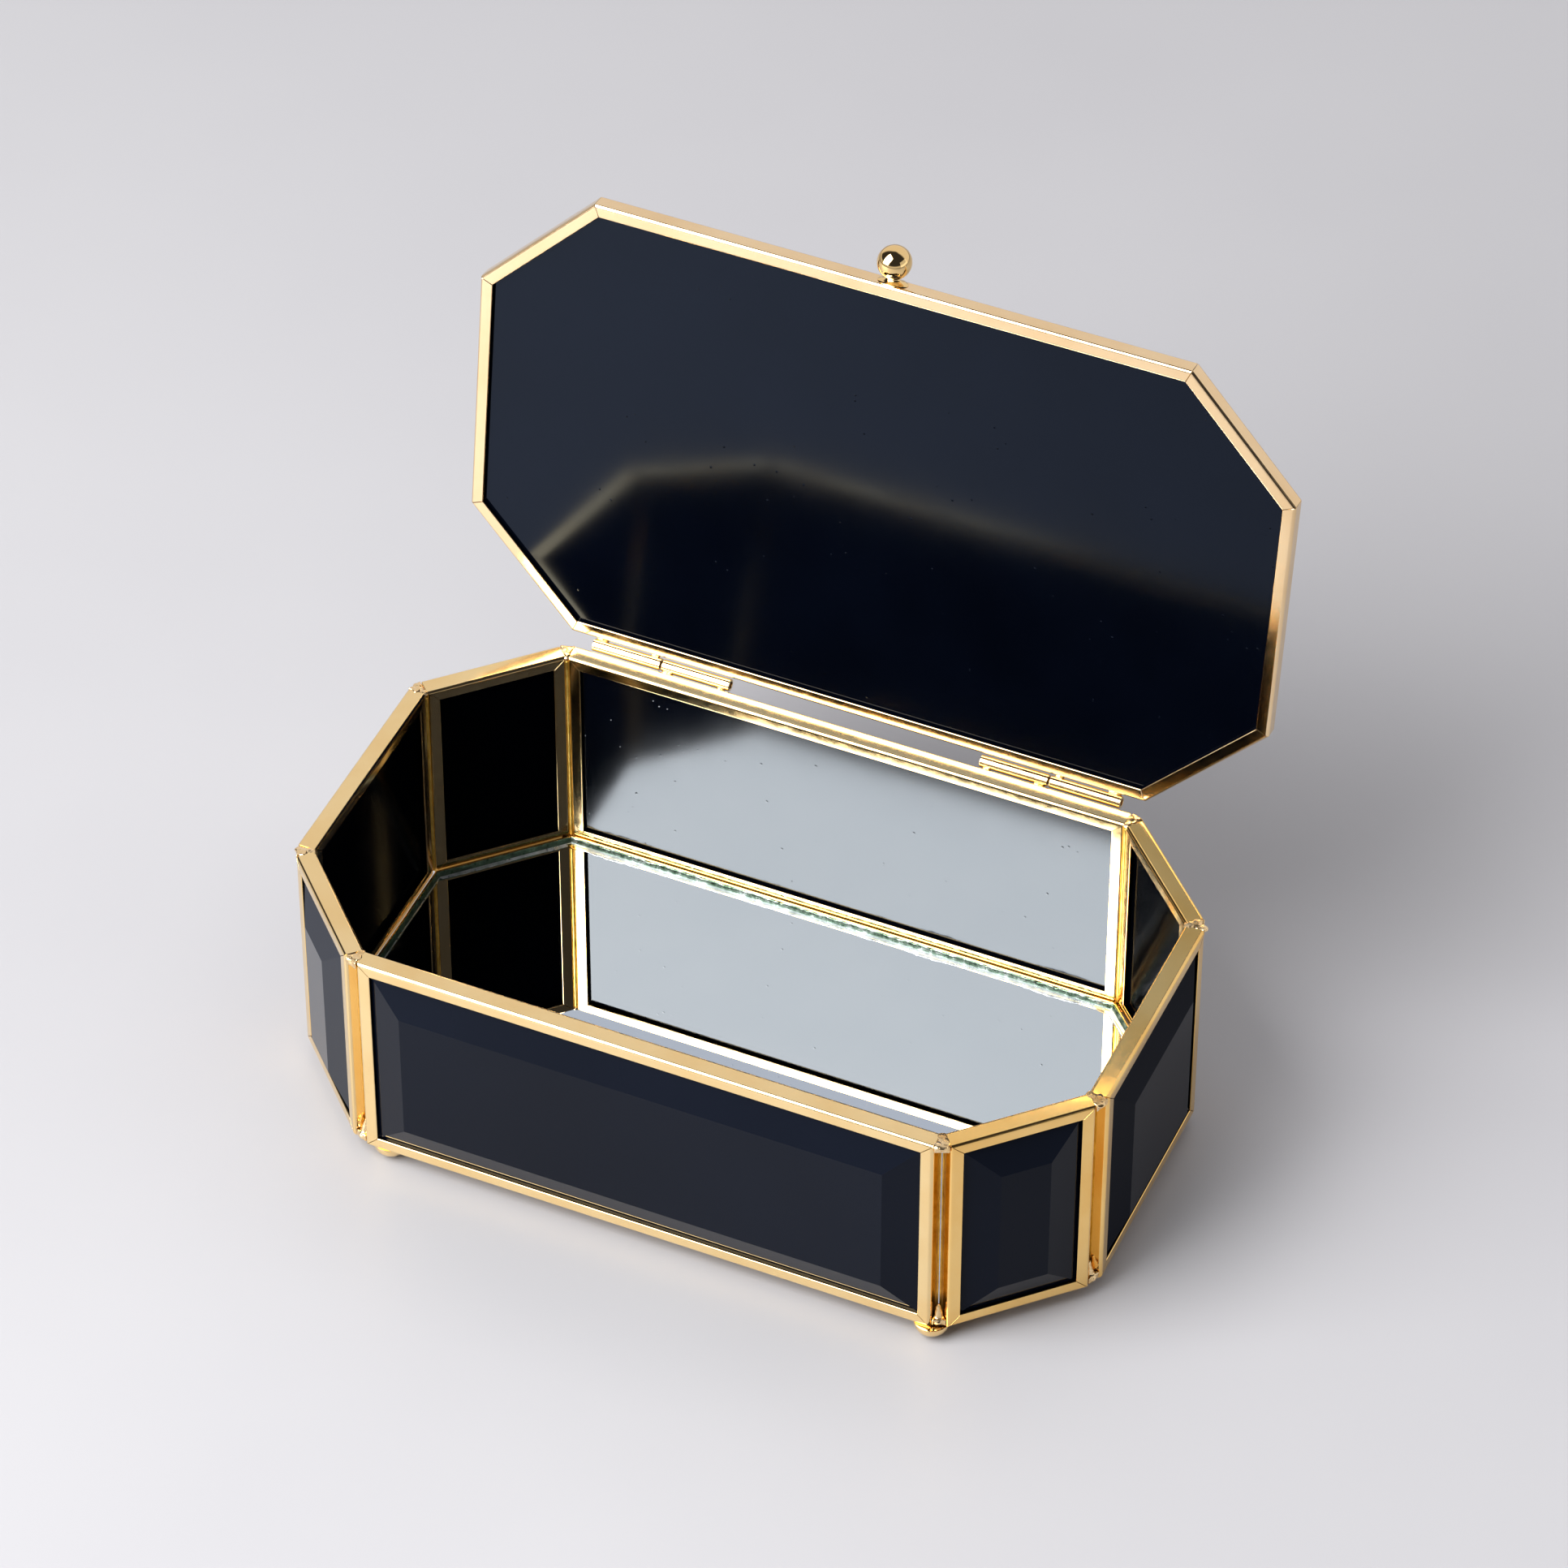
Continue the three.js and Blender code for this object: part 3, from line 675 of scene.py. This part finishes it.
# ------------------------------------------------------------------ feet
for foot in ("front_left", "front_right", "back_left", "back_right"):
    lo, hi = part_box("foot_" + foot)
    r = (hi.x - lo.x) / 2 / MM
    sy = -1 if "front" in foot else 1
    cx = (lo.x + hi.x) / 2 / MM
    yin = (hi.y - OY) / MM if sy < 0 else (lo.y - OY) / MM
    yout = (lo.y - OY) / MM if sy < 0 else (hi.y - OY) / MM
    cy = yout - sy * r
    h = (hi.z - lo.z) / MM
    prof = [(0, -h)]
    a0 = math.asin(1.5 / r)
    for k in range(25):
        a = a0 + (math.pi / 2 - a0) * k / 24
        prof.append((r * math.sin(a), -h * math.cos(a)))
    prof += [(r - 0.06, 0.14), (r - 0.4, 0.22), (0, 0.22)]
    ob = Part()
    lathe(ob, prof, lambda x, y, z: (cx + x, cy + y, -0.3 + z), seg=64)
    finish_piece(f"foot_{foot}_dome", ob, BODY, [M_BRASS], "base", ["foot_" + foot], sharp=50)

# ------------------------------------------------------------------ hinges
KR, KB, PR = 1.5, 0.9, 0.6
for side in ("left", "right"):
    for part_name, body, mtx in ((f"hinge_body_knuckle_{side}", "base", BODY), (f"hinge_lid_knuckle_{side}", "lid", LID)):
        lo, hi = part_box(part_name)
        xa, xb = lo.x / MM, hi.x / MM
        L = xb - xa
        prof = [(KB, 0.08), (KB + 0.08, 0), (KR - 0.14, 0), (KR - 0.04, 0.04), (KR, 0.14), (KR, L - 0.14), (KR - 0.04, L - 0.04), (KR - 0.14, L), (KB + 0.08, L), (KB, L - 0.08)]
        tube = Part()
        y0, z0 = (AX_Y, AX_Z) if body == "base" else (0, 0)
        lathe(tube, prof, lambda x, y, h: (xa + h, y0 + x, z0 + y), seg=72)
        finish_piece(part_name.replace("knuckle", "barrel"), tube, mtx, [M_BRASS_HINGE], body, [part_name], sharp=40)
    lo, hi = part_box(f"hinge_pin_{side}")
    xa, L = lo.x / MM, (hi.x - lo.x) / MM
    pin = Part()
    lathe(pin, [(0, 0), (PR * 0.7, 0.03), (PR * 0.93, 0.14), (PR, 0.3), (PR, L - 0.3), (PR * 0.93, L - 0.14), (PR * 0.7, L - 0.03), (0, L)],
          lambda x, y, h: (xa + h, AX_Y + x, AX_Z + y), seg=48)
    finish_piece(f"hinge_pin_{side}_rod", pin, BODY, [M_CUT], "base", [f"hinge_pin_{side}"], sharp=40)

# ------------------------------------------------------------------ lid
LID_T, LID_Z0 = 4.4, 0.25
LID_Z1 = LID_Z0 + LID_T
rails = Part()
bars(rails, [(x, y) for x, y in octagon(T)], channel(FLANGE, LID_T), lambda p, v: (p.x, p.y - AX_Y, LID_Z1 + v))
finish_piece("lid_rails", rails, LID, [M_BRASS_LID, M_CUT], "lid", ["lid_frame"])

mid = (LID_Z0 + LID_Z1) / 2
edge = T - 0.85
v = []
for z, off in ((mid - 1.1, edge), (mid + 0.7, edge), (mid + 3.5, edge - 10.4)):
    v += [(x, y - AX_Y, z) for x, y in octagon(off)]
f, fm = [list(range(8))], [1]
for r in (0, 8):
    for j in range(8):
        f.append([r + j, r + (j + 1) % 8, r + 8 + (j + 1) % 8, r + 8 + j])
        fm.append(0)
f.append(list(range(16, 24)))
fm.append(0)
pane = Part()
pane.add(v, f, fm)
finish_piece("lid_glass", pane, LID, [M_GLASS, M_COAT_LID], "lid", ["lid_pane"], sharp=3, weighted=True, bevel=0.10)

EDGE_Y = -(HALF_Y + T) - AX_Y
KN_R, KN_C = 4.0, 5.3
ball = Part()
prof = [(0, KN_R)]
for k in range(1, 40):
    a = math.pi * k / 40
    if KN_R * math.sin(a) < 1.15 and a > math.pi / 2:
        break
    prof.append((KN_R * math.sin(a), KN_R * math.cos(a)))
prof += [(1.15, -math.sqrt(KN_R ** 2 - 1.15 ** 2)), (0, -math.sqrt(KN_R ** 2 - 1.15 ** 2) - 0.02)]
lathe(ball, prof, lambda x, y, h: (x, EDGE_Y - KN_C - h, mid + y), seg=72)
finish_piece("knob_ball_turned", ball, LID, [M_KNOB], "lid", ["knob_ball"], sharp=60)
base = Part()
prof = [(0, 0.0), (3.55, 0.0), (3.7, 0.06), (3.62, 0.16)]
for k in range(1, 9):
    s = k / 8
    prof.append((1.5 + 2.0 * (1 - s) ** 2.2, 0.16 + 1.15 * s))
prof += [(0, 1.35)]
lathe(base, prof, lambda x, y, h: (x, EDGE_Y - 0.02 - h, mid + y * 0.56), seg=64)
finish_piece("knob_base_flare", base, LID, [M_KNOB], "lid", ["knob_base"], sharp=60)

for tag, body, mtx, y0, z0, spots in (
        ("lid", "lid", LID, 0.0, 0.0, ((-64.6, -1.55, 0.75, 1.7), (-51.0, -1.5, 0.70, 1.2), (51.4, -1.5, 0.70, 1.2), (65.2, -1.55, 0.75, 1.8))),
        ("body", "base", BODY, AX_Y, AX_Z, ((-46.9, -1.55, -0.75, 1.5), (-33.2, -1.5, -0.70, 1.1), (34.1, -1.5, -0.70, 1.1), (47.3, -1.55, -0.75, 1.5)))):
    for k, (x, y, z, l) in enumerate(spots):
        blob(f"hinge_solder_{tag}_{k}", [("ball", (x, y0 + y, z0 + z), (l, 0.48, 0.36)), ("ball", (x + 0.5, y0 + y - 0.35, z0 + z), (l * 0.6, 0.45, 0.34))],
             mtx, [M_SOLDER], body, seed=50 + k, voxel=0.12, smooth=1, amp=0.10)

# ------------------------------------------------------------------ stage
flo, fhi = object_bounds()
fm_, nt, p = nodes_of("stage_pale")
nt.links.new(ramp(nt, noise_node(nt, 3.0, 4), [(0.3, (0.315, 0.311, 0.326)), (0.7, (0.342, 0.338, 0.351))]), p.inputs["Base Color"])
p.inputs["Roughness"].default_value = 0.42
p.inputs["Specular IOR Level"].default_value = 0.35
me = bpy.data.meshes.new("stage_floor")
s = 4.0
me.from_pydata([(-s, -s, 0), (s, -s, 0), (s, s, 0), (-s, s, 0)], [], [(0, 1, 2, 3)])
me.materials.append(fm_)
stage = bpy.data.objects.new("stage_floor", me)
bpy.context.scene.collection.objects.link(stage)
stage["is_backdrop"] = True


def area(name, centre, half1, half2, radiance, color=(1, 1, 1)):
    """Rectangular light of a given radiance whose two half sides are vectors; it faces the box."""
    e1, e2 = Vector(half1), Vector(half2)
    n = e1.cross(e2).normalized()
    if n.dot(-Vector(centre)) < 0:
        e1 = -e1
        n = -n
    x, z = e1.normalized(), -n
    y = z.cross(x)
    ld = bpy.data.lights.new(name, "AREA")
    ld.shape = "RECTANGLE"
    ld.size, ld.size_y = e1.length * 2, e2.length * 2
    ld.energy = radiance * math.pi * ld.size * ld.size_y
    ld.color = color
    ob = bpy.data.objects.new(name, ld)
    bpy.context.scene.collection.objects.link(ob)
    ob.matrix_world = Matrix(((x.x, y.x, z.x, centre[0]), (x.y, y.y, z.y, centre[1]), (x.z, y.z, z.z, centre[2]), (0, 0, 0, 1)))
    ob.visible_camera = False
    return ob


D = 1.5
c, e1, e2 = Vector((-0.496, -0.604, 0.621)), Vector((0.285, -0.383, 0.075)), Vector((0.262, 0.239, 0.462))
area("key_softbox", Vector((0, 0.06, 0.12)) + (c + e1 * 0.16) * D, e1 * 0.84 * D, e2 * D, 11.0)
top = area("ceiling_bounce", (0.1, 0.0, 2.2), (1.5, 0, 0), (0, 1.5, 0), 1.3)
top.visible_glossy = False
area("fill_card_right", (1.3, 0.05, 0.50), (0.12, 0.62, 0), (0, 0, 0.40), 0.6)

w = bpy.data.worlds.new("studio")
bpy.context.scene.world = w
w.use_nodes = True
nt = w.node_tree
nt.nodes.clear()
out = nt.nodes.new("ShaderNodeOutputWorld")
bg = nt.nodes.new("ShaderNodeBackground")
tc = nt.nodes.new("ShaderNodeTexCoord")
sep = nt.nodes.new("ShaderNodeSeparateXYZ")
nt.links.new(tc.outputs["Generated"], sep.inputs[0])


def mrange(src, a, b, lo, hi):
    r = nt.nodes.new("ShaderNodeMapRange")
    r.interpolation_type = "SMOOTHSTEP"
    nt.links.new(src, r.inputs[0])
    for i, v in zip((1, 2, 3, 4), (a, b, lo, hi)):
        r.inputs[i].default_value = v
    return r.outputs[0]


def math_node(op, a, b):
    m = nt.nodes.new("ShaderNodeMath")
    m.operation = op
    for k, v in enumerate((a, b)):
        if isinstance(v, (int, float)):
            m.inputs[k].default_value = v
        else:
            nt.links.new(v, m.inputs[k])
    return m.outputs[0]


backdrop = math_node("MULTIPLY", mrange(sep.outputs[1], 0.20, 0.42, 0, 1), mrange(sep.outputs[2], 0.90, 0.97, 1, 0))
low = mrange(sep.outputs[2], 0.10, 0.22, 1, 0)
pale = math_node("MAXIMUM", backdrop, math_node("MULTIPLY", low, 0.75))
mix = nt.nodes.new("ShaderNodeMix")
mix.data_type = "RGBA"
nt.links.new(pale, mix.inputs["Factor"])
mix.inputs["A"].default_value = (0.035, 0.035, 0.04, 1)
mix.inputs["B"].default_value = (0.82, 0.80, 0.82, 1)
nt.links.new(mix.outputs["Result"], bg.inputs["Color"])
bg.inputs["Strength"].default_value = 1.0
nt.links.new(bg.outputs[0], out.inputs[0])

# ------------------------------------------------------------------ camera
r = Vector((0.914587, 0.404388, 0.000756))
u = Vector((-0.277185, 0.625534, 0.729298))
d = Vector((-0.294447, 0.667216, -0.684196))
cam = bpy.data.cameras.new("camera")
cam.sensor_fit = "HORIZONTAL"
cam.sensor_width = 36
cam.lens = 166.86
cam.clip_start, cam.clip_end = 0.05, 50
co = bpy.data.objects.new("camera", cam)
bpy.context.scene.collection.objects.link(co)
co.matrix_world = Matrix(((r.x, u.x, -d.x, 0.4868), (r.y, u.y, -d.y, -1.0952), (r.z, u.z, -d.z, 1.2088), (0, 0, 0, 1)))
bpy.context.scene.camera = co
sc = bpy.context.scene
sc.view_settings.view_transform = "Standard"
sc.view_settings.look = "None"

bpy.context.view_layer.update()
lo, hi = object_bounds()
